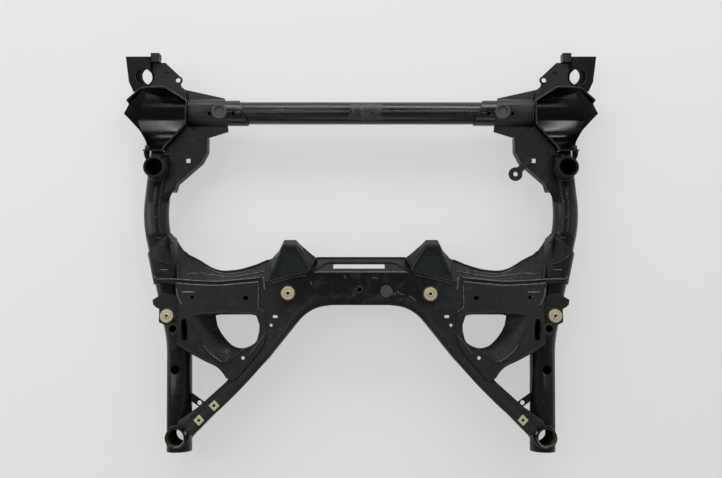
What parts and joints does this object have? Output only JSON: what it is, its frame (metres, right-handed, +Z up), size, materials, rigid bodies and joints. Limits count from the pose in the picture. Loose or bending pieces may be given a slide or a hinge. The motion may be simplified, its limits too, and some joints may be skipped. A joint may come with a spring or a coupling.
{
  "type": "front subframe",
  "caption": "Welded steel front subframe: bent side tubes, front cross tube, corner pockets and a pressed crossmember with diagonal arms, in black paint.",
  "frame": {"origin": "middle of the outline in plan, on the plane that the frame rests on", "axes": "+X to the right side, +Y to the end with the front cross tube, +Z up from the resting plane to the face with the zinc nuts"},
  "size_m": [0.986, 0.8066, 0.1],
  "materials": {
    "black_paint": "semi-gloss black dip paint with scuffs and light dust",
    "yellow_zinc": "pale yellow zinc plating",
    "grey_plastic": "dull dark grey plastic",
    "white_label": "plain white label, bare"
  },
  "bodies": {
    "root": {"front_cross_tube": "black_paint", "tube_collar_left": "black_paint", "tube_collar_right": "black_paint", "tube_bracket_left": "black_paint", "tube_bracket_right": "black_paint", "bracket_plugs": "grey_plastic", "corner_pocket_left": "black_paint", "corner_pocket_right": "black_paint", "front_mount_bracket_left": "black_paint", "front_mount_bracket_right": "black_paint", "front_mount_sleeve_left": "black_paint", "front_mount_sleeve_right": "black_paint", "ear_plate_left": "black_paint", "ear_plate_right": "black_paint", "front_clips": "grey_plastic", "side_tube_left": "black_paint", "side_tube_right": "black_paint", "middle_sleeve_left": "black_paint", "middle_sleeve_right": "black_paint", "rear_sleeve_left": "black_paint", "rear_sleeve_right": "black_paint", "link_bush_left": "black_paint", "link_bush_right": "black_paint", "gusset_plate_left": "black_paint", "gusset_plate_right": "black_paint", "line_bracket": "black_paint", "crossmember_shell": "black_paint", "crossmember_plate": "black_paint", "end_plate_left": "black_paint", "end_plate_right": "black_paint", "mount_tower_left": "black_paint", "mount_tower_right": "black_paint", "hook_tab_left": "black_paint", "hook_tab_right": "black_paint", "zinc_nuts": "yellow_zinc", "clip_nuts": "yellow_zinc", "weld_nut": "black_paint", "grey_plug": "grey_plastic", "loop_clips": "black_paint", "label": "white_label"}
  },
  "joints": []
}
